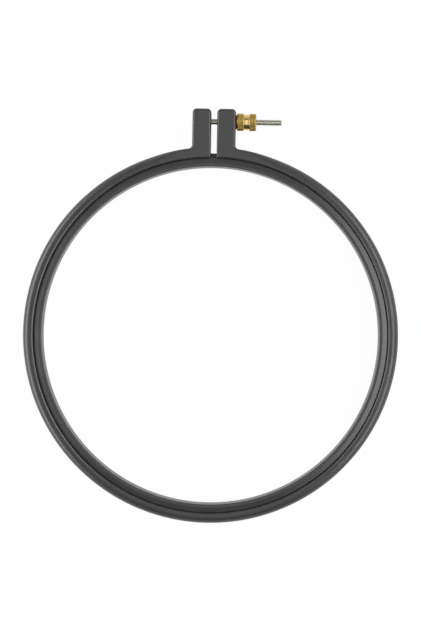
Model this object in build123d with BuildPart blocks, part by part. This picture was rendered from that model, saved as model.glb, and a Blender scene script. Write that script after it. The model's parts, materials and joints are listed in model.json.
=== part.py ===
from build123d import *
from math import asin, cos, degrees, radians, sin
import os

# Embroidery hoop, in millimetres. It lies flat, front up, with the lugs towards +Y and the screw
# along X. The origin is the centre of the opening, halfway up the rings.

# The two rings, from the opening outwards
hoop_height = 9.5
opening_radius = 85.0
inner_wall = 4.3
fabric_gap = 0.2
outer_wall = 5.3

# Lip round the back of the inner ring, which the outer ring is rebated to take
lip_width = 3.0
lip_height = 3.2
lip_chamfer = 0.8

# Front edges: a broad shoulder round the outside, a wide bevel on the inner ring, small chamfers
shoulder_rounding = 4.4
shoulder_limit_share = 0.85
bevel_width = 2.9
bevel_drop = 1.1
lug_chamfer = 0.9
bore_chamfer = 0.5
opening_chamfer = 0.5

# Lugs beside the slot of the outer ring
slot_width = 3.0
lug_width = 9.45
lug_length = 19.4
lug_corner_rounding = 2.0
lug_foot_rounding = 2.0
slot_mouth_rounding = 1.0
lug_run_in = 1.5
shoulder_run_in = 20.0

# Clamp screw, M3 by 40, with its hex head held in the left lug
screw_setback = 6.2
screw_radius = 1.5
screw_length = 40.0
screw_end_chamfer = 0.5
head_across_flats = 5.5
head_height = 2.0
head_chamfer = 0.45
pocket_depth = 5.0
pocket_clearance = 0.1
screw_hole_clearance = 0.2

# Washer against the right lug
washer_radius = 3.5
washer_thickness = 0.5
washer_bore_clearance = 0.1

# Thumb nut: two bands with a diamond knurl, and a smooth groove between them
nut_radius = 4.35
nut_band_length = 3.35
nut_groove_depth = 0.4
nut_groove_length = 3.05
nut_end_chamfer = 0.4
nut_bore_clearance = 0.08
knurl_count = 20
knurl_depth = 0.25
knurl_lean = 30

# One overrun serves every cut
overrun = 1.0

half_height = hoop_height / 2
inner_outside_radius = opening_radius + inner_wall
lip_radius = inner_outside_radius + lip_width
lip_top = lip_height - half_height
bore_radius = inner_outside_radius + fabric_gap
outer_radius = bore_radius + outer_wall
rebate_radius = lip_radius + fabric_gap
rebate_seat = lip_top + fabric_gap
lug_outer_x = slot_width / 2 + lug_width
lug_end_y = outer_radius + lug_length
screw_centre_y = lug_end_y - screw_setback
screw_seat_x = pocket_depth - lug_outer_x
nut_x = lug_outer_x + washer_thickness
groove_start_x = nut_x + nut_band_length
groove_end_x = groove_start_x + nut_groove_length

screw_plane = Plane(origin=(0, screw_centre_y, 0), x_dir=(1, 0, 0), z_dir=(0, 0, 1))
screw_axis = Axis((0, screw_centre_y, 0), (1, 0, 0))


def across_screw(x):
    """Plane square to the screw at x, facing the nut end, with its own X along +Y."""
    return Plane(origin=(x, screw_centre_y, 0), x_dir=(0, 1, 0), z_dir=(1, 0, 0))


def corner(sketch, x, y):
    """Corner of a flat sketch that lies nearest to a point."""
    return sketch.vertices().sort_by_distance((x, y))[0]


# Inner ring: a plain ring with a lip at the back and a bevelled front, turned from one profile
with BuildPart() as inner_ring:
    with BuildSketch(Plane.XZ) as inner_profile:
        with BuildLine():
            Polyline(
                (opening_radius, -half_height),
                (lip_radius, -half_height),
                (lip_radius, lip_top),
                (inner_outside_radius, lip_top),
                (inner_outside_radius, half_height - bevel_drop),
                (inner_outside_radius - bevel_width, half_height),
                (opening_radius, half_height),
                close=True,
            )
        make_face()
        chamfer(corner(inner_profile, opening_radius, half_height), opening_chamfer)
        chamfer(corner(inner_profile, lip_radius, lip_top), lip_chamfer)
    revolve(axis=Axis.Z)

# Lug block: the stretch of the outer ring that carries both lugs, drawn in plan. Its front edges
# have one small chamfer all round. The arcs at the feet of the lugs end on the ring's own circle.
with BuildPart() as lug_block:
    with BuildSketch(Plane.XY.offset(-half_height)) as lug_plan:
        Circle(outer_radius)
        with Locations((0, lug_end_y / 2)):
            Rectangle(2 * lug_outer_x, lug_end_y)
        Circle(bore_radius, mode=Mode.SUBTRACT)
        with Locations((0, lug_end_y / 2)):
            Rectangle(slot_width, lug_end_y + overrun, mode=Mode.SUBTRACT)
        fillet(lug_plan.vertices().group_by(Axis.Y)[-1], lug_corner_rounding)
        by_side = lug_plan.vertices().group_by(Axis.X)
        feet = [by_side[0].sort_by(Axis.Y)[0], by_side[-1].sort_by(Axis.Y)[0]]
        fillet(feet, lug_foot_rounding)
        slot_corners = lug_plan.vertices().sort_by(lambda corner: abs(corner.X))[:4]
        fillet(slot_corners.sort_by(Axis.Y)[:2], slot_mouth_rounding)
    extrude(amount=hoop_height)
    chamfer(lug_block.edges().group_by(Axis.Z)[-1], lug_chamfer)
    foot_angle = degrees(
        asin((lug_outer_x + lug_foot_rounding) / (outer_radius + lug_foot_rounding))
    )
    lug_zone = foot_angle + degrees(lug_run_in / outer_radius)
    for side in (1, -1):
        zone_normal = (side * cos(radians(lug_zone)), sin(radians(lug_zone)), 0)
        split(bisect_by=Plane(origin=(0, 0, 0), z_dir=zone_normal))


def radial_plane(angle):
    """Plane through the middle of the hoop at an angle, with its own X outwards and its Y up."""
    outward = (cos(radians(angle)), sin(radians(angle)), 0)
    clockwise = (sin(radians(angle)), -cos(radians(angle)), 0)
    return Plane(origin=(0, 0, 0), x_dir=outward, z_dir=clockwise)


# The plain stretch of the outer ring has a broad front shoulder. It narrows to the small chamfer
# of the lug block in two run-ins, each swept from the one section to the other.
plain_zone = lug_zone + degrees(shoulder_run_in / outer_radius)
ring_shoulder = min(shoulder_rounding, shoulder_limit_share * outer_wall)

with BuildSketch(radial_plane(90 - lug_zone)) as lug_end_section:
    with Locations((bore_radius, 0)):
        Rectangle(outer_wall, hoop_height, align=(Align.MIN, Align.CENTER))
    chamfer(corner(lug_end_section, outer_radius, half_height), lug_chamfer)
    chamfer(corner(lug_end_section, bore_radius, half_height), lug_chamfer)

with BuildSketch(radial_plane(90 - plain_zone)) as plain_section:
    with Locations((bore_radius, 0)):
        Rectangle(outer_wall, hoop_height, align=(Align.MIN, Align.CENTER))
    fillet(corner(plain_section, outer_radius, half_height), ring_shoulder)
    chamfer(corner(plain_section, bore_radius, half_height), bore_chamfer)

with BuildPart() as shoulder_run:
    with BuildLine() as run_path:
        CenterArc((0, 0), outer_radius, 90 - lug_zone, lug_zone - plain_zone)
    run_sections = [lug_end_section.sketch, plain_section.sketch]
    sweep(sections=run_sections, path=run_path.line, multisection=True)
    mirror(about=Plane.YZ)

with BuildPart() as plain_arc:
    add(plain_section.sketch)
    revolve(axis=-Axis.Z, revolution_arc=360 - 2 * plain_zone)

# Outer ring: the stretches joined, then rebated over the lip and bored for the screw, with a
# pocket for its head
with BuildPart() as outer_ring:
    add(lug_block.part)
    add(shoulder_run.part)
    add(plain_arc.part)
    with BuildSketch(Plane.XZ):
        with BuildLine():
            Polyline(
                (bore_radius - overrun, -half_height - overrun),
                (rebate_radius, -half_height - overrun),
                (rebate_radius, rebate_seat),
                (bore_radius - overrun, rebate_seat),
                close=True,
            )
        make_face()
    revolve(axis=Axis.Z, mode=Mode.SUBTRACT)
    with Locations(across_screw(lug_outer_x)):
        Hole(radius=screw_radius + screw_hole_clearance)
    with BuildSketch(across_screw(-lug_outer_x - overrun)):
        pocket_radius = head_across_flats / 2 + pocket_clearance
        RegularPolygon(radius=pocket_radius, side_count=6, major_radius=False)
    extrude(amount=pocket_depth + overrun, mode=Mode.SUBTRACT)

# Clamp screw: a hex head with its outer corners turned off, then the shank
with BuildPart() as clamp_screw:
    with BuildSketch(across_screw(screw_seat_x)):
        RegularPolygon(radius=head_across_flats / 2, side_count=6, major_radius=False)
    extrude(amount=-head_height)
    head_corner_radius = head_across_flats / 2 / cos(radians(30))
    head_end_x = screw_seat_x - head_height
    with BuildSketch(screw_plane):
        with BuildLine():
            Polyline(
                (head_end_x, 0),
                (head_end_x, head_corner_radius - 2 * head_chamfer),
                (head_end_x + head_chamfer, head_corner_radius),
                (screw_seat_x, head_corner_radius),
                (screw_seat_x, 0),
                close=True,
            )
        make_face()
    revolve(axis=screw_axis, mode=Mode.INTERSECT)
    with BuildSketch(across_screw(screw_seat_x)):
        Circle(screw_radius)
    extrude(amount=screw_length)
    free_end = clamp_screw.faces().sort_by(Axis.X)[-1]
    chamfer(free_end.edges(), screw_end_chamfer)

# Washer
with BuildPart() as washer:
    with BuildSketch(across_screw(lug_outer_x)):
        Circle(washer_radius)
        Circle(screw_radius + washer_bore_clearance, mode=Mode.SUBTRACT)
    extrude(amount=washer_thickness)


def knurl_groove(lean):
    """One straight V groove of the knurl, leaning from the screw's direction. Its own Z lies along
    the screw and its own X points out of the band."""
    along = (0, sin(radians(lean)), cos(radians(lean)))
    reach = nut_band_length / 2 / cos(radians(lean)) + 2 * knurl_depth
    with BuildPart() as groove:
        with BuildSketch(Plane(origin=(0, 0, 0), x_dir=(1, 0, 0), z_dir=along)):
            with BuildLine():
                Polyline(
                    (-knurl_depth, 0),
                    (knurl_depth, -2 * knurl_depth),
                    (knurl_depth, 2 * knurl_depth),
                    close=True,
                )
            make_face()
        extrude(amount=reach, both=True)
    return groove.part


# Thumb nut: each band is turned with two flats to a groove, so that every diamond has a flat top
with BuildPart() as thumb_nut:
    for band_x in (nut_x, groove_end_x):
        with BuildSketch(across_screw(band_x)):
            RegularPolygon(radius=nut_radius, side_count=2 * knurl_count, rotation=90 / knurl_count)
        extrude(amount=nut_band_length)
    band_ends = thumb_nut.faces().filter_by(Axis.X).sort_by(Axis.X)
    chamfer(band_ends[0].edges() + band_ends[-1].edges(), nut_end_chamfer)
    for band_x in (nut_x, groove_end_x):
        with Locations(across_screw(band_x + nut_band_length / 2)):
            with PolarLocations(nut_radius, knurl_count):
                add([knurl_groove(knurl_lean), knurl_groove(-knurl_lean)], mode=Mode.SUBTRACT)
    with BuildSketch(across_screw(groove_start_x)):
        Circle(nut_radius - nut_groove_depth)
    extrude(amount=nut_groove_length)
    with Locations(across_screw(nut_x)):
        Hole(radius=screw_radius + nut_bore_clearance)

os.makedirs("parts", exist_ok=True)

inner_ring.part.label = "inner_ring"
export_step(inner_ring.part, "parts/inner_ring.step")

outer_ring.part.label = "outer_ring"
export_step(outer_ring.part, "parts/outer_ring.step")

clamp_screw.part.label = "clamp_screw"
export_step(clamp_screw.part, "parts/clamp_screw.step")

washer.part.label = "washer"
export_step(washer.part, "parts/washer.step")

thumb_nut.part.label = "thumb_nut"
export_step(thumb_nut.part, "parts/thumb_nut.step")

for piece in (inner_ring.part, outer_ring.part, clamp_screw.part, washer.part, thumb_nut.part):
    print(piece.label, "volume", round(piece.volume, 1), "valid", piece.is_valid)
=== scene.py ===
# %% [markdown]
# # An embroidery hoop
#
# An embroidery hoop stretches cloth between two rings. The inner ring is plain. The outer ring is
# split, and a screw with a knurled thumb nut draws its two lugs together. The CAD model gives the
# sizes and the moving bodies. This script gives the hoop its finished surfaces, its materials and
# its light. It works in millimetres and turns them to metres when a mesh is made.

# %% The frame
import json
import math

import bmesh
import bpy
from mathutils import Matrix, Vector

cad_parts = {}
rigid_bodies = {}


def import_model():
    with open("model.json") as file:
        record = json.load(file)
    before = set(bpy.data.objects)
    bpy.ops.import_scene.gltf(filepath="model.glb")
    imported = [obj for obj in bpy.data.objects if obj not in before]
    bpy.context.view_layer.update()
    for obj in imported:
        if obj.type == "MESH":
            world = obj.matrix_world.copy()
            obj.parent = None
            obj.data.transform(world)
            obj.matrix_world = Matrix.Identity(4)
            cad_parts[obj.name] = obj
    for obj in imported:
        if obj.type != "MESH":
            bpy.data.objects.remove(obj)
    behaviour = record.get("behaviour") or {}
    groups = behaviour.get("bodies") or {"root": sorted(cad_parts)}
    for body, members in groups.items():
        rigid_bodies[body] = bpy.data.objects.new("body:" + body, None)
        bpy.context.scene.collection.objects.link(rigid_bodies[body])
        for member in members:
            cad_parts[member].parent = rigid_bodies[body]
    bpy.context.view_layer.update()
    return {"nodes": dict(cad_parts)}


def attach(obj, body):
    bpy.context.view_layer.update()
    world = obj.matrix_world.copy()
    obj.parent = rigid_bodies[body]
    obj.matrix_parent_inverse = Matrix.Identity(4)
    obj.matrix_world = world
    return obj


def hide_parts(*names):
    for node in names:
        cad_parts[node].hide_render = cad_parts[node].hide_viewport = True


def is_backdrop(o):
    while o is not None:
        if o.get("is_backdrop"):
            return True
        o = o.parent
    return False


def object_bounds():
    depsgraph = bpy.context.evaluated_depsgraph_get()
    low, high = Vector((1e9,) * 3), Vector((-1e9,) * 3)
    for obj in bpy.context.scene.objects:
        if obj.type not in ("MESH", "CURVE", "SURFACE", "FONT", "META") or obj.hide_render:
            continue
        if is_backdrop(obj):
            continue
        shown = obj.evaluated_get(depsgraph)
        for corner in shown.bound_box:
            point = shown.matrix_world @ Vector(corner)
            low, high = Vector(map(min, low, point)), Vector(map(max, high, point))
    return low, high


for leftover in list(bpy.data.objects):
    bpy.data.objects.remove(leftover)

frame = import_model()
MM = 0.001
print("nodes", sorted(frame["nodes"]))

# %% [markdown]
# ## Helpers for meshes
#
# Every piece here is a mesh whose place is in its own points, so its object stays at the origin. A
# mesh made row by row can end up inside out, so its doubles are merged and its normals are turned
# outwards before anything else happens to it. Faces are smooth, and only the edges sharper than
# a set angle stay crisp. What a modifier makes is turned to a plain mesh at once, so that
# nothing is left to be worked out later.


# %% A mesh object from points in millimetres
MERGE_MM = 0.0005


def new_piece(name, points, faces):
    """Makes a mesh object from points in millimetres and lists of point numbers."""
    mesh = bpy.data.meshes.new(name)
    mesh.from_pydata([Vector(point) * MM for point in points], [], faces)
    piece = bpy.data.objects.new(name, mesh)
    bpy.context.scene.collection.objects.link(piece)
    return piece


def clean_surface(piece, crisp_angle=32):
    """Merges doubles, turns the faces outwards and keeps only the sharper edges crisp."""
    shape = bmesh.new()
    shape.from_mesh(piece.data)
    bmesh.ops.remove_doubles(shape, verts=shape.verts, dist=MERGE_MM * MM)
    bmesh.ops.recalc_face_normals(shape, faces=shape.faces)
    shape.to_mesh(piece.data)
    shape.free()
    piece.data.shade_smooth()
    piece.data.set_sharp_from_angle(angle=math.radians(crisp_angle))
    return piece


def as_plain_mesh(piece):
    """Applies what the modifiers of a piece make, and removes the modifiers."""
    depsgraph = bpy.context.evaluated_depsgraph_get()
    made = bpy.data.meshes.new_from_object(piece.evaluated_get(depsgraph), depsgraph=depsgraph)
    piece.modifiers.clear()
    piece.data = made
    made.name = piece.name
    return piece


def report(piece):
    """Prints the number of triangles of a piece and its size in millimetres."""
    triangles = sum(len(face.vertices) - 2 for face in piece.data.polygons)
    corners = [point.co / MM for point in piece.data.vertices]
    low = [round(min(corner[axis] for corner in corners), 2) for axis in range(3)]
    high = [round(max(corner[axis] for corner in corners), 2) for axis in range(3)]
    print(piece.name, "triangles", triangles, "from", low, "to", high)


# %% [markdown]
# ## Helpers for node trees
#
# Materials and Geometry Nodes trees are both made of nodes. One small function adds a node, sets
# its properties, and then fills each of its inputs with a value or with a link. No real finish
# has one flat colour, so a second small set of helpers makes a shade that drifts a little from
# place to place. A Mix node's inputs have the same names several times over, so they are given
# by number: 0 is the share, and 6 and 7 are the two colours.


# %% One function that adds a node
def add_node(tree, kind, inputs=None, **settings):
    """Adds a node to a tree, with its settings and with a value or a link for each input."""
    node = tree.nodes.new(kind)
    for name, value in settings.items():
        setattr(node, name, value)
    for key, value in (inputs or {}).items():
        if isinstance(value, bpy.types.NodeSocket):
            tree.links.new(value, node.inputs[key])
        else:
            node.inputs[key].default_value = value
    return node


def run_tree(piece, tree, sizes):
    """Runs a Geometry Nodes tree on a piece with these named inputs, and keeps the plain mesh."""
    modifier = piece.modifiers.new(tree.name, "NODES")
    modifier.node_group = tree
    for socket in tree.interface.items_tree:
        if socket.in_out == "INPUT" and socket.name in sizes:
            modifier[socket.identifier] = sizes[socket.name]
    return as_plain_mesh(piece)


def linear_colour(hex_code):
    """Turns an sRGB hex value such as "8A8A8C" to the linear colour that the shader needs."""
    parts = [int(hex_code[place : place + 2], 16) / 255 for place in (0, 2, 4)]
    linear = [part / 12.92 if part <= 0.04045 else ((part + 0.055) / 1.055) ** 2.4 for part in parts]
    return (*linear, 1.0)


print("808080 in linear light", round(linear_colour("808080")[0], 3))


# %% Helpers for materials
def new_material(name):
    """Makes an empty material and returns it with its tree."""
    material = bpy.data.materials.new(name)
    material.use_nodes = True
    material.node_tree.nodes.clear()
    return material, material.node_tree


def patches(tree, patch_mm):
    """A value that drifts about 0.5 over a surface, in patches of a size in millimetres."""
    place = add_node(tree, "ShaderNodeTexCoord")
    drift = add_node(
        tree,
        "ShaderNodeTexNoise",
        {"Vector": place.outputs["Object"], "Scale": 1 / (patch_mm * MM), "Detail": 2.0},
    )
    return drift.outputs[0]


def two_shades(tree, where, dark, light):
    """A colour between two hex shades, by a value that drifts over the surface."""
    shades = {0: where, 6: linear_colour(dark), 7: linear_colour(light)}
    return add_node(tree, "ShaderNodeMix", shades, data_type="RGBA").outputs[2]


# %% [markdown]
# ## Moulded plastic
#
# Both rings are injection moulded in a charcoal plastic, such as ABS. Such plastic has an IOR of
# about 1.5. The mould's surface is finely blasted, so the gloss is soft: a roughness of 0.36 lets
# a lamp show as a broad, weak band along an edge and nowhere as a spot. The colour itself is
# darker than the hoop looks, because the gloss adds the pale light of the room to every flat.
# The grain of the mould is about 0.1 mm across. That is too fine to show here, so it is drawn at
# 0.4 mm and very shallow, where it only breaks up the highlight a little. Where the plastic
# flowed in the mould, and where hands have polished it, its shade and gloss drift slightly from
# place to place, in patches of about a centimetre.

# %% Charcoal plastic
GRAIN_MM = 0.4
GRAIN_DEPTH_MM = 0.01
FLOW_MM = 9.0
charcoal_abs, tree = new_material("charcoal_abs_fine_grain")
flow = patches(tree, FLOW_MM)
gloss = add_node(tree, "ShaderNodeMapRange", {"Value": flow, "To Min": 0.32, "To Max": 0.4})
place = add_node(tree, "ShaderNodeTexCoord")
grain = add_node(
    tree,
    "ShaderNodeTexNoise",
    {"Vector": place.outputs["Object"], "Scale": 1 / (GRAIN_MM * MM), "Detail": 1.0},
)
bump = add_node(
    tree,
    "ShaderNodeBump",
    {"Height": grain.outputs[0], "Strength": 0.2, "Distance": GRAIN_DEPTH_MM * MM},
)
shader = add_node(
    tree,
    "ShaderNodeBsdfPrincipled",
    {
        "Base Color": two_shades(tree, flow, "2B2B2C", "373738"),
        "Roughness": gloss.outputs["Result"],
        "IOR": 1.5,
        "Normal": bump.outputs["Normal"],
    },
)
add_node(tree, "ShaderNodeOutputMaterial", {"Surface": shader.outputs["BSDF"]})
print(charcoal_abs.name, "grain and flow in mm", GRAIN_MM, FLOW_MM)

# %% [markdown]
# ## Brass and zinc-plated steel
#
# The nut is bar brass. It is turned, so its smooth groove mirrors the lamps as crisp stripes, and
# a roughness of 0.14 does that. The turning tool leaves fine lines round it. They are about
# 0.1 mm apart, too fine to show here, so they are drawn at 0.25 mm, as waves across the axis that
# only tilt the surface a little. A Wave texture at a scale of 1 has its bands 2 pi / 20 apart,
# which gives the scale for any other spacing. The two bands are knurled with a rolling tool,
# which leaves them duller, so they get a brass of their own. Its darker, browner colour is painted
# shade, standing for the shade that gathers in the grooves of the knurl. A bright metal could also
# be one material with noise for its wear, but the nut is clean and each finish has a sharp edge.
#
# The washer's brass is painted a dark brown. This is painted shade, standing for the shadow in the
# narrow gap between the lug and the nut, and the washer is also a rougher brass. The screw is steel
# with a thin coat of zinc, a slightly greenish grey. All of them are plain metals, so metallic is 1
# and the IOR stays at its default. Oil, handling and the plating bath leave patches of a few
# millimetres on them, where the shade drifts a little.

# %% Bright turned brass
TURNING_MM = 0.25
TURNING_DEPTH_MM = 0.008
HANDLING_MM = 3.0
WAVE_SPACING = 2 * math.pi / 20
turned_brass, tree = new_material("turned_brass")
place = add_node(tree, "ShaderNodeTexCoord")
turning = add_node(
    tree,
    "ShaderNodeTexWave",
    {"Vector": place.outputs["Object"], "Scale": WAVE_SPACING / (TURNING_MM * MM)},
    bands_direction="X",
)
bump = add_node(
    tree,
    "ShaderNodeBump",
    {"Height": turning.outputs[0], "Strength": 1.0, "Distance": TURNING_DEPTH_MM * MM},
)
shader = add_node(
    tree,
    "ShaderNodeBsdfPrincipled",
    {
        "Base Color": two_shades(tree, patches(tree, HANDLING_MM), "DDBE76", "EED290"),
        "Metallic": 1.0,
        "Roughness": 0.14,
        "Normal": bump.outputs["Normal"],
    },
)
add_node(tree, "ShaderNodeOutputMaterial", {"Surface": shader.outputs["BSDF"]})
print(turned_brass.name, "turning lines in mm", TURNING_MM)


# %% Knurled brass, the washer's brass with painted shade, and plated steel
def patchy_metal(name, patch_mm, dark, light, roughness):
    """A plain metal whose shade drifts between two hex colours, in patches of a size."""
    material, tree = new_material(name)
    shade = two_shades(tree, patches(tree, patch_mm), dark, light)
    shader = add_node(
        tree,
        "ShaderNodeBsdfPrincipled",
        {"Base Color": shade, "Metallic": 1.0, "Roughness": roughness},
    )
    add_node(tree, "ShaderNodeOutputMaterial", {"Surface": shader.outputs["BSDF"]})
    return material


# The knurled bands' darker, browner colour is painted shade from the knurl's grooves. Their higher
# roughness is real.
knurled_brass = patchy_metal(
    "knurled_brass", patch_mm=2.0, dark="B3934D", light="D3B56B", roughness=0.27
)
# The washer's dark brown colour is painted shade, standing for the shadow in the gap between the lug and
# the nut.
washer_brass_painted_shade = patchy_metal(
    "washer_brass_painted_shade", patch_mm=1.5, dark="5A3826", light="84604A", roughness=0.5
)
zinc_plated_steel = patchy_metal(
    "zinc_plated_steel", patch_mm=3.0, dark="AAAA9C", light="C0C0B4", roughness=0.2
)
print("other metals", knurled_brass.name, washer_brass_painted_shade.name, zinc_plated_steel.name)

# %% [markdown]
# ## The inner ring
#
# The inner ring has the same section all the way round: a wall whose front edge slopes off
# towards the outer ring in a wide, low bevel, so that the cloth runs over it without a crease,
# and a flat lip round the back that the outer ring sits on. Spin or a Screw modifier could turn
# such a section too. Geometry Nodes are chosen because the shape follows one rule, and the tree
# keeps its radius and its number of segments as inputs that are easy to change. The section is
# drawn once as a closed line, and the tree carries it round a circle with Curve to Mesh. The
# corners are rounded in the section itself, and each flat gets two extra points close to its
# ends, so that the smooth shading of a rounding doesn't bleed into the flat.

# %% Sizes of the inner ring
HALF_HEIGHT = 4.75
OPENING_RADIUS = 85.0
INNER_WALL = 4.3
LIP_WIDTH = 3.0
LIP_HEIGHT = 3.2
BEVEL_WIDTH = 2.9
BEVEL_DROP = 1.1
BEVEL_TOP_ROUNDING = 1.5
BEVEL_FOOT_ROUNDING = 0.25
OPENING_ROUNDING = 0.7
LIP_ROUNDING = 0.9
LIP_FOOT_ROUNDING = 0.2
BACK_CORNER_ROUNDING = 0.4
inner_outside_radius = OPENING_RADIUS + INNER_WALL
lip_radius = inner_outside_radius + LIP_WIDTH
lip_top = LIP_HEIGHT - HALF_HEIGHT
print("radii in mm: wall", inner_outside_radius, "lip", lip_radius)


# %% A closed section with rounded corners
HOLD = 0.12


def rounded_section(corners, steps=8):
    """Points of a closed outline whose corners are (x, y, rounding), with held flats."""
    points = []
    for number, (x, y, rounding) in enumerate(corners):
        corner = Vector((x, y))
        before = (Vector(corners[number - 1][:2]) - corner).normalized()
        after = (Vector(corners[(number + 1) % len(corners)][:2]) - corner).normalized()
        turn = before.angle(after)
        cut_back = rounding / math.tan(turn / 2)
        middle = corner + (before + after).normalized() * rounding / math.sin(turn / 2)
        start = corner + before * cut_back - middle
        end = corner + after * cut_back - middle
        points.append(corner + before * (cut_back + HOLD))
        for step in range(steps + 1):
            share = step / steps
            swing = start.angle(end)
            weight_start = math.sin((1 - share) * swing) / math.sin(swing)
            weight_end = math.sin(share * swing) / math.sin(swing)
            points.append(middle + start * weight_start + end * weight_end)
        points.append(corner + after * (cut_back + HOLD))
    return points


inner_section = rounded_section(
    [
        (OPENING_RADIUS, -HALF_HEIGHT, BACK_CORNER_ROUNDING),
        (lip_radius, -HALF_HEIGHT, BACK_CORNER_ROUNDING),
        (lip_radius, lip_top, LIP_ROUNDING),
        (inner_outside_radius, lip_top, LIP_FOOT_ROUNDING),
        (inner_outside_radius, HALF_HEIGHT - BEVEL_DROP, BEVEL_FOOT_ROUNDING),
        (inner_outside_radius - BEVEL_WIDTH, HALF_HEIGHT, BEVEL_TOP_ROUNDING),
        (OPENING_RADIUS, HALF_HEIGHT, OPENING_ROUNDING),
    ]
)
print("points in the section", len(inner_section))

# %% A tree that carries a section round a circle
ring_tree = bpy.data.node_groups.new("section_round_a_circle", "GeometryNodeTree")
ring_tree.interface.new_socket("Section", in_out="INPUT", socket_type="NodeSocketGeometry")
ring_tree.interface.new_socket("Circle Radius", in_out="INPUT", socket_type="NodeSocketFloat")
ring_tree.interface.new_socket("Segments", in_out="INPUT", socket_type="NodeSocketInt")
ring_tree.interface.new_socket("Finish", in_out="INPUT", socket_type="NodeSocketMaterial")
ring_tree.interface.new_socket("Ring", in_out="OUTPUT", socket_type="NodeSocketGeometry")
given = add_node(ring_tree, "NodeGroupInput")
section = add_node(ring_tree, "GeometryNodeMeshToCurve", {"Mesh": given.outputs["Section"]})
circle = add_node(
    ring_tree,
    "GeometryNodeCurvePrimitiveCircle",
    {"Resolution": given.outputs["Segments"], "Radius": given.outputs["Circle Radius"]},
)
swept = add_node(
    ring_tree,
    "GeometryNodeCurveToMesh",
    {"Curve": circle.outputs["Curve"], "Profile Curve": section.outputs["Curve"]},
)
real = add_node(ring_tree, "GeometryNodeRealizeInstances", {"Geometry": swept.outputs["Mesh"]})
painted = add_node(
    ring_tree,
    "GeometryNodeSetMaterial",
    {"Geometry": real.outputs["Geometry"], "Material": given.outputs["Finish"]},
)
add_node(ring_tree, "NodeGroupOutput", {"Ring": painted.outputs["Geometry"]})
print("inputs", [socket.name for socket in ring_tree.interface.items_tree])

# %% The inner ring from its section
RING_SEGMENTS = 360
count = len(inner_section)
section_line = bpy.data.meshes.new("inner_ring_moulding")
section_line.from_pydata(
    [((point.x - OPENING_RADIUS) * MM, -point.y * MM, 0) for point in inner_section],
    [(number, (number + 1) % count) for number in range(count)],
    [],
)
inner_ring = bpy.data.objects.new("inner_ring_moulding", section_line)
bpy.context.scene.collection.objects.link(inner_ring)
run_tree(
    inner_ring,
    ring_tree,
    {"Circle Radius": OPENING_RADIUS * MM, "Segments": RING_SEGMENTS, "Finish": charcoal_abs},
)
clean_surface(inner_ring)
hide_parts("inner_ring")
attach(inner_ring, "inner_ring_body")
report(inner_ring)

# %% [markdown]
# ## The outer ring and its lugs
#
# Seen from the front, the outer ring is one closed outline in the shape of a C: the bore, the
# slot with its rounded mouth, the two lugs, and the outside. The front edge is eased all along
# this outline. On the lugs it has a small rounding, and along the outside the rounding swells to
# a broad shoulder. Round the bore the edge is a narrow bevel, which shows as a thin line of light
# beside the seam between the rings. The swelling starts just past the foot of each lug and is
# complete 20 mm further on. A Bevel modifier would be quicker, but it gives every edge one width,
# and here the width changes along the edge. So the outline is sampled once, and each point also
# says which way the material lies. Rows of points, each a little further in and a little higher,
# then make the wall, the eased edge and the flat front.

# %% Sizes of the outer ring and its lugs
CLOTH_GAP = 0.2
OUTER_WALL = 5.3
SLOT_HALF = 1.5
SLOT_MOUTH = 1.0
LUG_WIDTH = 9.45
LUG_LENGTH = 19.4
LUG_CORNER = 2.0
LUG_FOOT = 2.0
FOOT_TAIL = 1.5
SHOULDER_RUN = 20.0
bore_radius = inner_outside_radius + CLOTH_GAP
outer_radius = bore_radius + OUTER_WALL
lug_outer_x = SLOT_HALF + LUG_WIDTH
lug_end_y = outer_radius + LUG_LENGTH
foot_centre_x = lug_outer_x + LUG_FOOT
foot_angle = math.asin(foot_centre_x / (outer_radius + LUG_FOOT))
mouth_angle = math.asin((SLOT_HALF + SLOT_MOUTH) / (bore_radius + SLOT_MOUTH))
lug_zone = foot_angle + FOOT_TAIL / outer_radius
plain_zone = lug_zone + SHOULDER_RUN / outer_radius
print("radii in mm: bore", bore_radius, "outside", outer_radius)
print("lug zone in degrees", round(math.degrees(lug_zone), 2), round(math.degrees(plain_zone), 2))


# %% The outline of one half
RING_STEPS = 171
CORNER_STEPS = 12
FOOT_STEPS = 10
MOUTH_STEPS = 8
FOOT_TAIL_STEPS = 3


def along_arc(centre, radius, start, end, steps, convex):
    """Outline points of an arc, angles in radians from +X, with the way into the material."""
    found = []
    for step in range(steps + 1):
        angle = start + (end - start) * step / steps
        out = Vector((math.cos(angle), math.sin(angle)))
        found.append((Vector(centre) + out * radius, -out if convex else out))
    return found


def along_line(start, end, inwards):
    """Outline points of a straight edge, held close to both of its ends."""
    start, end = Vector(start), Vector(end)
    step = (end - start).normalized() * HOLD
    return [(start + step, Vector(inwards)), (end - step, Vector(inwards))]


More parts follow.
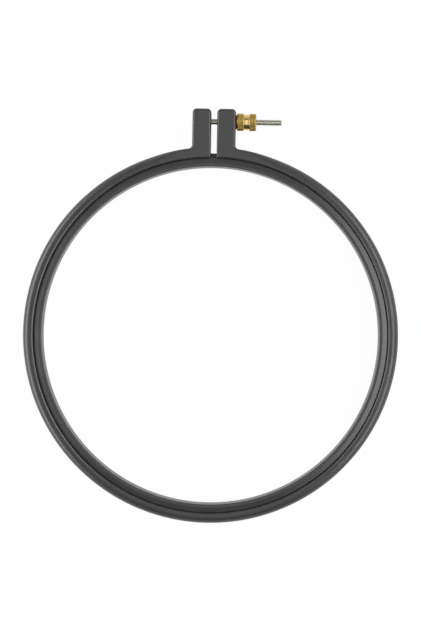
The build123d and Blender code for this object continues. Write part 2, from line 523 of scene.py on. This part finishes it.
def right_half():
    """Bore, slot mouth, lug, foot and outside of the right half, from the bottom and back."""
    top = math.pi / 2
    mouth_centre = Vector((math.sin(mouth_angle), math.cos(mouth_angle))) * (bore_radius + SLOT_MOUTH)
    foot_centre = Vector((math.sin(foot_angle), math.cos(foot_angle))) * (outer_radius + LUG_FOOT)
    inner_corner = Vector((SLOT_HALF + LUG_CORNER, lug_end_y - LUG_CORNER))
    outer_corner = Vector((lug_outer_x - LUG_CORNER, lug_end_y - LUG_CORNER))
    bore_shared = along_arc((0, 0), bore_radius, -top, top - lug_zone, RING_STEPS, convex=False)
    outside_shared = along_arc((0, 0), outer_radius, top - lug_zone, -top, RING_STEPS, convex=True)
    lug = along_arc((0, 0), bore_radius, top - lug_zone, top - mouth_angle, MOUTH_STEPS, convex=False)[1:]
    mouth_start = 1.5 * math.pi - mouth_angle
    lug += along_arc(mouth_centre, SLOT_MOUTH, mouth_start, math.pi, MOUTH_STEPS, convex=True)[1:]
    lug += along_line((SLOT_HALF, mouth_centre.y), (SLOT_HALF, inner_corner.y), (1, 0))
    lug += along_arc(inner_corner, LUG_CORNER, math.pi, top, CORNER_STEPS, convex=True)
    lug += along_line((inner_corner.x, lug_end_y), (outer_corner.x, lug_end_y), (0, -1))
    lug += along_arc(outer_corner, LUG_CORNER, top, 0, CORNER_STEPS, convex=True)
    lug += along_line((lug_outer_x, outer_corner.y), (lug_outer_x, foot_centre.y), (-1, 0))
    foot_end = 1.5 * math.pi - foot_angle
    lug += along_arc(foot_centre, LUG_FOOT, math.pi, foot_end, FOOT_STEPS, convex=False)
    tail = along_arc((0, 0), outer_radius, top - foot_angle, top - lug_zone, FOOT_TAIL_STEPS, convex=True)
    return bore_shared, lug + tail[1:-1], outside_shared


bore_part, lug_part, outside_part = right_half()
half_outline = bore_part + lug_part + outside_part
mirrored = [(Vector((-p.x, p.y)), Vector((-n.x, n.y))) for p, n in reversed(half_outline)]
outline = half_outline + mirrored[1:-1]
print("points on the outline", len(outline))


# %% The eased edge at each place of the outline
BORE_BEVEL_WIDTH = 0.6
BORE_BEVEL_DROP = 0.42
MOUTH_ROUNDING = 0.5
MOUTH_BLEND = 4.0
LUG_ROUNDING = 1.6
SHOULDER_ROUNDING = 4.4


def front_rounding(point):
    """Front rounding at an outline point: small on the lugs, and a broad shoulder outside."""
    from_lugs = math.atan2(abs(point.x), point.y)
    if from_lugs < lug_zone:
        share = min(1.0, (point.length - bore_radius) / MOUTH_BLEND)
        return MOUTH_ROUNDING + (LUG_ROUNDING - MOUTH_ROUNDING) * share
    share = min(1.0, (from_lugs - lug_zone) / (plain_zone - lug_zone))
    eased = share * share * (3 - 2 * share)
    return LUG_ROUNDING + (SHOULDER_ROUNDING - LUG_ROUNDING) * eased


def front_edge(point, share):
    """Inset and drop of the front edge at a point, from its foot (0) to its top (1).

    It is the bevel at the bore, the rounding further from it than MOUTH_BLEND, and between them
    a blend of the two.
    """
    turn = share * math.pi / 2
    rounding = front_rounding(point)
    inset, drop = rounding * (1 - math.cos(turn)), rounding * (1 - math.sin(turn))
    bevelled = max(0.0, 1 - (point.length - bore_radius) / MOUTH_BLEND)
    inset += (BORE_BEVEL_WIDTH * share - inset) * bevelled
    drop += (BORE_BEVEL_DROP * (1 - share) - drop) * bevelled
    return inset, drop


bore_drop, outside_drop = (front_edge(place, 0)[1] for place in (outline[0][0], half_outline[-1][0]))
print("drop of the edge in mm: bore", round(bore_drop, 2), "outside", round(outside_drop, 2))

# %% Rows of points from the back to the front
BACK_ROUNDING = 0.35
FRONT_STEPS = 10
BACK_STEPS = 3
rows = []
for step in range(-1, BACK_STEPS + 1):
    turn = max(step, 0) / BACK_STEPS * math.pi / 2
    inset = BACK_ROUNDING * (1 - math.sin(turn)) + (HOLD if step < 0 else 0)
    height = -HALF_HEIGHT + BACK_ROUNDING * (1 - math.cos(turn))
    rows.append([(*(p + n * inset), height) for p, n in outline])
rows.append([(*p, -HALF_HEIGHT + BACK_ROUNDING + HOLD) for p, n in outline])
rows.append([(*p, HALF_HEIGHT - front_edge(p, 0)[1] - HOLD) for p, n in outline])
for step in range(FRONT_STEPS + 2):
    row = []
    for p, n in outline:
        inset, drop = front_edge(p, min(step / FRONT_STEPS, 1))
        held = HOLD if step > FRONT_STEPS else 0
        row.append((*(p + n * (inset + held)), HALF_HEIGHT - drop))
    rows.append(row)
print("rows", len(rows))

# %% Faces between the rows, and the flat front and back
length = len(outline)
points = [point for row in rows for point in row]
faces = []
for row in range(len(rows) - 1):
    for number in range(length):
        following = (number + 1) % length
        low, high = row * length, (row + 1) * length
        faces.append((low + number, low + following, high + following, high + number))

right_lug = list(range(RING_STEPS, len(half_outline) - RING_STEPS))
left_lug = [(length - number) % length for number in right_lug]
for base in (0, (len(rows) - 1) * length):
    for number in range(RING_STEPS):
        outside = len(half_outline) - 1 - number
        pairs = (number, number + 1, outside - 1, outside)
        faces.append([base + place for place in pairs])
        faces.append([base + (length - place) % length for place in pairs])
    faces.append([base + place for place in right_lug])
    faces.append([base + place for place in left_lug])
outer_ring = new_piece("outer_ring_moulding", points, faces)
clean_surface(outer_ring)
report(outer_ring)

# %% [markdown]
# The outer ring is rebated round the back so that it sits over the lip of the inner ring. The
# lugs are bored across for the screw, and the left one has a six-sided pocket for its head. These
# are cuts, so each is a Boolean with a plain cutter. The cutters run past the surfaces that they
# open, so that no thin skin is left.

# %% Sizes of the rebate, the screw hole and the pocket
SCREW_SETBACK = 6.2
SCREW_RADIUS = 1.5
HOLE_CLEARANCE = 0.2
HOLE_SIDES = 64
HEAD_FLAT = 2.75
HEAD_SIDES = 6
POCKET_CLEARANCE = 0.1
POCKET_DEPTH = 5.0
rebate_radius = lip_radius + CLOTH_GAP
rebate_seat = lip_top + CLOTH_GAP
screw_y = lug_end_y - SCREW_SETBACK
hole_radius = SCREW_RADIUS + HOLE_CLEARANCE
corner_share = 1 / math.cos(math.pi / HEAD_SIDES)
pocket_corner = (HEAD_FLAT + POCKET_CLEARANCE) * corner_share
pocket_end_x = POCKET_DEPTH - lug_outer_x
print("screw's axis at Y", round(screw_y, 2), "and the pocket's floor at X", round(pocket_end_x, 2))


# %% The cuts
def cutter(name, radius, sides, start, end, along_x):
    """A prism from start to end in millimetres, along the screw or up through the ring."""
    ring = [2 * math.pi * side / sides for side in range(sides)]
    if along_x:
        turned_points = [(screw_y + radius * math.cos(a), radius * math.sin(a)) for a in ring]
        ends = [[(x, *point) for point in turned_points] for x in (start, end)]
    else:
        ends = [[(radius * math.cos(a), radius * math.sin(a), z) for a in ring] for z in (start, end)]
    skin = [(n, (n + 1) % sides, sides + (n + 1) % sides, sides + n) for n in range(sides)]
    skin += [list(range(sides)), list(range(sides, 2 * sides))]
    return clean_surface(new_piece(name, ends[0] + ends[1], skin))


cutters = [
    cutter("rebate_cut", rebate_radius, RING_SEGMENTS, -2 * HALF_HEIGHT, rebate_seat, along_x=False),
    cutter("screw_cut", hole_radius, HOLE_SIDES, -2 * lug_outer_x, 2 * lug_outer_x, along_x=True),
    cutter("pocket_cut", pocket_corner, HEAD_SIDES, -2 * lug_outer_x, pocket_end_x, along_x=True),
]
for tool in cutters:
    cut = outer_ring.modifiers.new(tool.name, "BOOLEAN")
    cut.operation = "DIFFERENCE"
    cut.solver = "EXACT"
    cut.object = tool
as_plain_mesh(outer_ring)
for tool in cutters:
    bpy.data.objects.remove(tool)
clean_surface(outer_ring)
outer_ring.data.materials.clear()
outer_ring.data.materials.append(charcoal_abs)
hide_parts("outer_ring")
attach(outer_ring, "outer_ring_body")
report(outer_ring)

# %% [markdown]
# ## Turned pieces
#
# The screw, the washer and the nut are turned on a lathe, so each starts as an outline of
# (place along the screw, radius) carried round the screw's axis. Spin does the same by hand in
# Edit Mode. A function is chosen here because the rows of points have to lie close together
# where a thread or a knurl is cut later. An outline that starts and ends on the axis gives
# a solid. One that starts off the axis is closed on itself and gives a ring.


# %% A lathe for the screw's axis
def turned(name, outline, sides):
    """A piece turned about the screw's axis from (x, radius) pairs in millimetres."""
    points, rings, faces = [], [], []
    for x, radius in outline:
        around = sides if radius > 0 else 1
        rings.append(range(len(points), len(points) + around))
        for side in range(around):
            angle = 2 * math.pi * side / sides
            points.append((x, screw_y + radius * math.cos(angle), radius * math.sin(angle)))
    closed = outline[0][1] > 0
    for number in range(len(rings) if closed else len(rings) - 1):
        low, high = rings[number], rings[(number + 1) % len(rings)]
        for side in range(sides):
            following = (side + 1) % sides
            corners = [low[side % len(low)], low[following % len(low)]]
            corners += [high[following % len(high)], high[side % len(high)]]
            faces.append(list(dict.fromkeys(corners)))
    return clean_surface(new_piece(name, points, faces))


def spaced(start, end, spacing):
    """Numbers from start to end, both included, about spacing apart."""
    steps = max(1, round(abs(end - start) / spacing))
    return [start + (end - start) * step / steps for step in range(steps + 1)]


# %% [markdown]
# ## Grooves that wind round the axis
#
# A screw thread is one groove that winds round and round. A diamond knurl is two families of
# grooves that lean opposite ways. A bump in the material could draw both, but the edge of the
# piece would stay smooth against the light, so they are cut in the mesh. Both follow the same
# rule, so one Geometry Nodes tree cuts both. For each point it works out the angle round the
# axis and the place along it, and from these how far the point is from the middle of the nearest
# ridge. That gives the depth of the groove there. A point further out than the groove's floor is
# moved in, as a tool would cut it, so grooves run out by themselves on a chamfer. Crest and Root
# say where a flank starts and ends, as shares of the spacing from the middle of a ridge. Points
# before Start X are left alone, which keeps the head of the screw whole.

# %% Inputs of the groove tree
groove_tree = bpy.data.node_groups.new("grooves_round_the_axis", "GeometryNodeTree")
groove_tree.interface.new_socket("Blank", in_out="INPUT", socket_type="NodeSocketGeometry")
for size in ("Axis Y", "Start X", "Radius", "Depth", "Starts", "Turns per Metre", "Crest", "Root"):
    groove_tree.interface.new_socket(size, in_out="INPUT", socket_type="NodeSocketFloat")
groove_tree.interface.new_socket("Finish", in_out="INPUT", socket_type="NodeSocketMaterial")
groove_tree.interface.new_socket("Cut", in_out="OUTPUT", socket_type="NodeSocketGeometry")
given = add_node(groove_tree, "NodeGroupInput").outputs
place = add_node(groove_tree, "GeometryNodeInputPosition")
xyz = add_node(groove_tree, "ShaderNodeSeparateXYZ", {0: place.outputs[0]}).outputs
print("inputs", [socket.name for socket in groove_tree.interface.items_tree])

# %% How far a point is from the nearest ridge
across = add_node(
    groove_tree, "ShaderNodeMath", {0: xyz["Y"], 1: given["Axis Y"]}, operation="SUBTRACT"
).outputs[0]
angle = add_node(
    groove_tree, "ShaderNodeMath", {0: xyz["Z"], 1: across}, operation="ARCTAN2"
).outputs[0]
turns = add_node(
    groove_tree, "ShaderNodeMath", {0: angle, 1: 2 * math.pi}, operation="DIVIDE"
).outputs[0]
wound = add_node(
    groove_tree, "ShaderNodeMath", {0: turns, 1: given["Starts"]}, operation="MULTIPLY"
).outputs[0]
phase = add_node(
    groove_tree,
    "ShaderNodeMath",
    {0: xyz["X"], 1: given["Turns per Metre"], 2: wound},
    operation="MULTIPLY_ADD",
).outputs[0]
from_ridge = add_node(
    groove_tree, "ShaderNodeMath", {0: phase, 1: 0.5}, operation="PINGPONG"
).outputs[0]
print("nodes up to the ridges", len(groove_tree.nodes))

# %% The floor of the groove, and the point moved in to it
depth = add_node(
    groove_tree,
    "ShaderNodeMapRange",
    {
        "Value": from_ridge,
        "From Min": given["Crest"],
        "From Max": given["Root"],
        "To Min": 0.0,
        "To Max": given["Depth"],
    },
).outputs["Result"]
floor_radius = add_node(
    groove_tree, "ShaderNodeMath", {0: given["Radius"], 1: depth}, operation="SUBTRACT"
).outputs[0]
off_axis = add_node(groove_tree, "ShaderNodeCombineXYZ", {"Y": across, "Z": xyz["Z"]}).outputs[0]
reach = add_node(
    groove_tree, "ShaderNodeVectorMath", {0: off_axis}, operation="LENGTH"
).outputs["Value"]
kept = add_node(
    groove_tree, "ShaderNodeMath", {0: reach, 1: floor_radius}, operation="MINIMUM"
).outputs[0]
shrink = add_node(
    groove_tree, "ShaderNodeMath", {0: kept, 1: reach}, operation="DIVIDE"
).outputs[0]
new_y = add_node(
    groove_tree,
    "ShaderNodeMath",
    {0: across, 1: shrink, 2: given["Axis Y"]},
    operation="MULTIPLY_ADD",
).outputs[0]
new_z = add_node(
    groove_tree, "ShaderNodeMath", {0: xyz["Z"], 1: shrink}, operation="MULTIPLY"
).outputs[0]
new_place = add_node(
    groove_tree, "ShaderNodeCombineXYZ", {"X": xyz["X"], "Y": new_y, "Z": new_z}
).outputs[0]
print("nodes up to the new place", len(groove_tree.nodes))

# %% The cut piece with its finish
beyond_start = add_node(
    groove_tree, "ShaderNodeMath", {0: xyz["X"], 1: given["Start X"]}, operation="GREATER_THAN"
).outputs[0]
cut = add_node(
    groove_tree,
    "GeometryNodeSetPosition",
    {"Geometry": given["Blank"], "Selection": beyond_start, "Position": new_place},
)
real = add_node(groove_tree, "GeometryNodeRealizeInstances", {"Geometry": cut.outputs["Geometry"]})
painted = add_node(
    groove_tree,
    "GeometryNodeSetMaterial",
    {"Geometry": real.outputs["Geometry"], "Material": given["Finish"]},
)
add_node(groove_tree, "NodeGroupOutput", {"Cut": painted.outputs["Geometry"]})
print("nodes in the groove tree", len(groove_tree.nodes))

# %% [markdown]
# ## The clamp screw
#
# This is an M3 machine screw: 3 mm across the thread, a pitch of 0.5 mm, and a hexagon head that
# sits in the pocket of the left lug. The thread shows between the lugs and past the nut. A point
# every 0.0625 mm along the screw gives each turn eight rows, enough for its flanks. The thread is
# cut at half its real depth with broad crests, because at arm's length such a rod shows plain
# stripes of light, and full flanks would break them up into dots. The head is turned round
# first, with its chamfer. Each of its points that stands past the nearest of the six flats is
# then moved in to that flat, which gives the curved edges that a real hexagon head has. A point
# right on a corner lies as near to one flat as to the other, so a small nudge picks one of them.

# %% Screw blank
PITCH = 0.5
THREAD_ROWS = 8
SCREW_LENGTH = 40.0
SCREW_CHAMFER = 0.3
SCREW_SIDES = 48
HEAD_HEIGHT = 2.0
HEAD_CHAMFER = 0.45
CHAMFER_STEPS = 6
NECK_HALF = 0.03
head_start_x = pocket_end_x - HEAD_HEIGHT
screw_end_x = pocket_end_x + SCREW_LENGTH
neck_x = pocket_end_x + NECK_HALF
head_corner = HEAD_FLAT * corner_share
head_face = head_corner - 2 * HEAD_CHAMFER
screw_outline = [(head_start_x, 0.0), (head_start_x, head_face / 2), (head_start_x, head_face)]
for step in range(1, CHAMFER_STEPS + 1):
    sloped = HEAD_CHAMFER * step / CHAMFER_STEPS
    screw_outline.append((head_start_x + sloped, head_face + 2 * sloped))
screw_outline += [(pocket_end_x, head_corner), (pocket_end_x, SCREW_RADIUS)]
thread_places = spaced(neck_x + NECK_HALF, screw_end_x - SCREW_CHAMFER, PITCH / THREAD_ROWS)
screw_outline += [(x, SCREW_RADIUS) for x in thread_places]
for step in range(1, CHAMFER_STEPS + 1):
    sloped = SCREW_CHAMFER * step / CHAMFER_STEPS
    screw_outline.append((screw_end_x - SCREW_CHAMFER + sloped, SCREW_RADIUS - sloped))
screw_outline.append((screw_end_x, 0.0))
clamp_screw = turned("clamp_screw_m3", screw_outline, SCREW_SIDES)
report(clamp_screw)

# %% Six flats on the head
FLAT_ANGLE = 360 / HEAD_SIDES
NUDGE_SHARE = 0.001
for point in clamp_screw.data.vertices:
    if point.co.x < neck_x * MM:
        across, up = point.co.y - screw_y * MM, point.co.z
        flat_number = math.floor(math.degrees(math.atan2(up, across)) / FLAT_ANGLE + NUDGE_SHARE)
        nearest_flat = math.radians((flat_number + 0.5) * FLAT_ANGLE)
        reach = across * math.cos(nearest_flat) + up * math.sin(nearest_flat)
        if reach > HEAD_FLAT * MM:
            point.co.y = screw_y * MM + across * HEAD_FLAT * MM / reach
            point.co.z = up * HEAD_FLAT * MM / reach
print("head across flats in mm", 2 * HEAD_FLAT)

# %% Thread of the screw
THREAD_DEPTH = 0.15
THREAD_CREST_SHARE = 0.2
THREAD_ROOT_SHARE = 0.4
THREAD_CRISP_ANGLE = 40
run_tree(
    clamp_screw,
    groove_tree,
    {
        "Axis Y": screw_y * MM,
        "Start X": neck_x * MM,
        "Radius": SCREW_RADIUS * MM,
        "Depth": THREAD_DEPTH * MM,
        "Starts": -1.0,
        "Turns per Metre": 1 / (PITCH * MM),
        "Crest": THREAD_CREST_SHARE,
        "Root": THREAD_ROOT_SHARE,
        "Finish": zinc_plated_steel,
    },
)
clean_surface(clamp_screw, THREAD_CRISP_ANGLE)
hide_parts("clamp_screw")
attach(clamp_screw, "outer_ring_body")
report(clamp_screw)

# %% [markdown]
# ## The washer and the thumb nut
#
# A thin washer keeps the nut from biting into the lug. The nut has two knurled bands with
# a smooth groove between them. It is turned first, with its chamfers, and then both families of
# the knurl are cut, one after the other. Their start lies a metre before the nut, so that no
# point is left out.

# %% Washer
WASHER_THICKNESS = 0.5
WASHER_RADIUS = 3.5
WASHER_CLEARANCE = 0.1
WASHER_BORE_ROUNDING = 0.05
WASHER_EDGE_ROUNDING = 0.12
WASHER_SIDES = 96
washer_bore = SCREW_RADIUS + WASHER_CLEARANCE
nut_start_x = lug_outer_x + WASHER_THICKNESS
washer_section = rounded_section(
    [
        (lug_outer_x, washer_bore, WASHER_BORE_ROUNDING),
        (nut_start_x, washer_bore, WASHER_BORE_ROUNDING),
        (nut_start_x, WASHER_RADIUS, WASHER_EDGE_ROUNDING),
        (lug_outer_x, WASHER_RADIUS, WASHER_EDGE_ROUNDING),
    ],
    steps=4,
)
washer = turned("washer_turned", [tuple(point) for point in washer_section], WASHER_SIDES)
# The washer's dark brown brass is painted shade.
washer.data.materials.append(washer_brass_painted_shade)
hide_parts("washer")
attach(washer, "washer_body")
report(washer)

# %% Nut blank
NUT_RADIUS = 4.35
BAND_LENGTH = 3.35
GROOVE_LENGTH = 3.05
GROOVE_DEPTH = 0.4
NUT_CLEARANCE = 0.08
MOUTH_CHAMFER = 0.3
END_CHAMFER = 0.4
GROOVE_EDGE = 0.1
GROOVE_CORNER = 0.03
END_ROWS = 0.4
CHAMFER_ROWS = 0.1
KNURL_ROWS = 0.07
KNURL_COUNT = 40
SIDES_PER_KNURL = 12
nut_bore = SCREW_RADIUS + NUT_CLEARANCE
groove_radius = NUT_RADIUS - GROOVE_DEPTH
groove_start = nut_start_x + BAND_LENGTH
middle_x = groove_start + GROOVE_LENGTH / 2
chamfer_foot = NUT_RADIUS - END_CHAMFER
band_start, band_end = nut_start_x + END_CHAMFER + KNURL_ROWS, groove_start - GROOVE_EDGE

nut_outline = [(nut_start_x + MOUTH_CHAMFER, nut_bore), (nut_start_x, nut_bore + MOUTH_CHAMFER)]
nut_outline += [(nut_start_x, r) for r in spaced(nut_bore + END_ROWS, chamfer_foot, END_ROWS)]
for sloped in spaced(CHAMFER_ROWS, END_CHAMFER, CHAMFER_ROWS):
    nut_outline.append((nut_start_x + sloped, chamfer_foot + sloped))
nut_outline += [(x, NUT_RADIUS) for x in spaced(band_start, band_end, KNURL_ROWS)]
nut_outline += [(groove_start, NUT_RADIUS - GROOVE_EDGE), (groove_start, groove_radius + GROOVE_EDGE)]
nut_outline += [(groove_start + GROOVE_CORNER, groove_radius + GROOVE_CORNER)]
nut_outline += [(groove_start + GROOVE_EDGE, groove_radius), (middle_x, groove_radius)]
nut_outline += [(2 * middle_x - x, radius) for x, radius in reversed(nut_outline[:-1])]
thumb_nut = turned("thumb_nut_knurled", nut_outline, SIDES_PER_KNURL * KNURL_COUNT)
report(thumb_nut)

# %% Diamond knurl on both bands
KNURL_DEPTH = 0.15
KNURL_LEAN = 30
KNURL_CREST_SHARE = 0.12
KNURL_ROOT_SHARE = 0.5
KNURL_CRISP_ANGLE = 50
METRE_BEFORE = -1.0
for lean in (KNURL_LEAN, -KNURL_LEAN):
    per_metre = KNURL_COUNT * math.tan(math.radians(lean)) / (2 * math.pi * NUT_RADIUS * MM)
    run_tree(
        thumb_nut,
        groove_tree,
        {
            "Axis Y": screw_y * MM,
            "Start X": METRE_BEFORE,
            "Radius": NUT_RADIUS * MM,
            "Depth": KNURL_DEPTH * MM,
            "Starts": float(KNURL_COUNT),
            "Turns per Metre": per_metre,
            "Crest": KNURL_CREST_SHARE,
            "Root": KNURL_ROOT_SHARE,
            "Finish": turned_brass,
        },
    )
clean_surface(thumb_nut, KNURL_CRISP_ANGLE)

# %% The duller brass of the bands, with painted shade
# The bands get the darker brass, whose colour is painted shade from the grooves of the knurl.
thumb_nut.data.materials.append(knurled_brass)
for face in thumb_nut.data.polygons:
    from_middle = abs(face.center.x / MM - middle_x)
    off_axis = math.hypot(face.center.y / MM - screw_y, face.center.z / MM)
    if from_middle > GROOVE_LENGTH / 2 and off_axis > groove_radius:
        face.material_index = 1
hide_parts("thumb_nut")
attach(thumb_nut, "nut_body")
report(thumb_nut)

# %% [markdown]
# ## The camera
#
# The photograph looks straight down on the front of the hoop from about 0.7 m. The hoop stands
# a little off the lens's axis, so the camera stands over that axis and its shift brings the hoop
# back into the frame. The hoop is also turned one degree clockwise, so the camera turns one
# degree the other way.

# %% Camera over the hoop
LENS_HEIGHT = 720.0
MM_PER_PIXEL = 0.5025
IMAGE_LONG_SIDE = 631
SENSOR = 36.0
HOOP_TURN = math.radians(1.0)
AXIS_FROM_HOOP = (12.27, 10.21)
AXIS_FROM_MIDDLE_PIXELS = (24.35, 0.37)

camera_data = bpy.data.cameras.new("camera_over_hoop")
camera_data.sensor_width = SENSOR
camera_data.lens = SENSOR * LENS_HEIGHT / (IMAGE_LONG_SIDE * MM_PER_PIXEL)
camera_data.shift_x = -AXIS_FROM_MIDDLE_PIXELS[0] / IMAGE_LONG_SIDE
camera_data.shift_y = -AXIS_FROM_MIDDLE_PIXELS[1] / IMAGE_LONG_SIDE
camera_data.clip_start = 0.05
camera_data.clip_end = 20.0
camera = bpy.data.objects.new("camera_over_hoop", camera_data)
bpy.context.scene.collection.objects.link(camera)
foot = Matrix.Rotation(HOOP_TURN, 2) @ Vector(AXIS_FROM_HOOP)
camera.location = (foot.x * MM, foot.y * MM, (HALF_HEIGHT + LENS_HEIGHT) * MM)
camera.rotation_euler = (0, 0, HOOP_TURN)
bpy.context.scene.camera = camera
print("lens in mm", round(camera_data.lens, 1))

# %% [markdown]
# ## Table and light
#
# The hoop lies on a white table under soft studio light. A picture of a studio round the scene
# could light it too, but a few lamps of plain sizes are easier to read and to move. Two long
# soft lamps stand to the left and the right, high enough to run a pale band along the outer
# shoulder on both sides. A long strip lamp hangs above the hoop: the groove of the nut and the
# rod of the screw mirror it as their bright stripe. A wide weak lamp behind the lugs fills the
# far side of the metal. The world adds a little even light. Past the edge of the table the camera
# sees it white, but the metal mirrors it at its real, low level, which keeps the dark stripes
# beside the bright ones. To the camera, and in reflections, the table is nearly white by itself,
# and the rest of its brightness is real light, so it keeps the hoop's shadow. The table lies
# a hair below the hoop, so that the two flat faces don't flicker through each other.

# %% White table
FLOOR_HALF = 3000.0
FLOOR_DROP = 0.02
WHITE_SHARE = 0.96
floor = new_piece(
    "table_top",
    [(x, y, -HALF_HEIGHT - FLOOR_DROP) for x, y in ((-1, -1), (1, -1), (1, 1), (-1, 1))],
    [(0, 1, 2, 3)],
)
floor.data.transform(Matrix.Diagonal((FLOOR_HALF, FLOOR_HALF, 1, 1)))
white_table, tree = new_material("white_table")
rays = add_node(tree, "ShaderNodeLightPath").outputs
seen = add_node(
    tree, "ShaderNodeMath", {0: rays["Is Camera Ray"], 1: rays["Is Glossy Ray"]}, operation="ADD"
).outputs[0]
seen = add_node(
    tree,
    "ShaderNodeMath",
    {0: seen, 1: rays["Is Transmission Ray"]},
    operation="ADD",
    use_clamp=True,
).outputs[0]
share = add_node(tree, "ShaderNodeMath", {0: seen, 1: WHITE_SHARE}, operation="MULTIPLY").outputs[0]
matt = add_node(tree, "ShaderNodeBsdfDiffuse", {"Color": linear_colour("F4F4F4")})
glow = add_node(tree, "ShaderNodeEmission", {"Color": (1, 1, 1, 1), "Strength": 1.0})
mixed = add_node(
    tree,
    "ShaderNodeMixShader",
    {0: share, 1: matt.outputs[0], 2: glow.outputs[0]},
)
add_node(tree, "ShaderNodeOutputMaterial", {"Surface": mixed.outputs[0]})
floor.data.materials.append(white_table)
floor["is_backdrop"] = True
print("table", FLOOR_DROP, "mm below the hoop, white by itself to a share of", WHITE_SHARE)

# %% World
world = bpy.data.worlds.new("even_light")
bpy.context.scene.world = world
world.use_nodes = True
tree = world.node_tree
tree.nodes.clear()
rays = add_node(tree, "ShaderNodeLightPath").outputs
WORLD_LEVEL = 0.12
seen_level = add_node(
    tree,
    "ShaderNodeMapRange",
    {"Value": rays["Is Camera Ray"], "To Min": WORLD_LEVEL, "To Max": 1.0},
).outputs["Result"]
around = add_node(tree, "ShaderNodeBackground", {"Color": (1, 1, 1, 1), "Strength": seen_level})
add_node(tree, "ShaderNodeOutputWorld", {"Surface": around.outputs[0]})
print("level of the even light", WORLD_LEVEL)


# %% Lamps
def soft_lamp(name, place, size, watts):
    """A rectangular soft lamp at a place in millimetres, facing the middle of the hoop."""
    data = bpy.data.lights.new(name, "AREA")
    data.shape = "RECTANGLE"
    data.size, data.size_y = size[0] * MM, size[1] * MM
    data.energy = watts
    lamp = bpy.data.objects.new(name, data)
    bpy.context.scene.collection.objects.link(lamp)
    lamp.location = Vector(place) * MM
    to_hoop = Vector((0, 0, 0)) - Vector(place)
    lamp.rotation_mode = "QUATERNION"
    lamp.rotation_quaternion = to_hoop.to_track_quat("-Z", "Y")
    print(name, "watts", watts, "size in mm", size)


soft_lamp("lamp_left", place=(-960, 0, 300), size=(1800, 400), watts=16.0)
soft_lamp("lamp_right", place=(850, 0, 600), size=(1800, 450), watts=14.5)
soft_lamp("lamp_above", place=(0, -100, 1500), size=(900, 2300), watts=7.2)
soft_lamp("lamp_behind", place=(0, 1400, 500), size=(2400, 1000), watts=4.5)

bpy.context.scene.view_settings.view_transform = "Standard"
low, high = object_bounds()
print("visual box in mm", [round(side / MM, 2) for side in high - low])
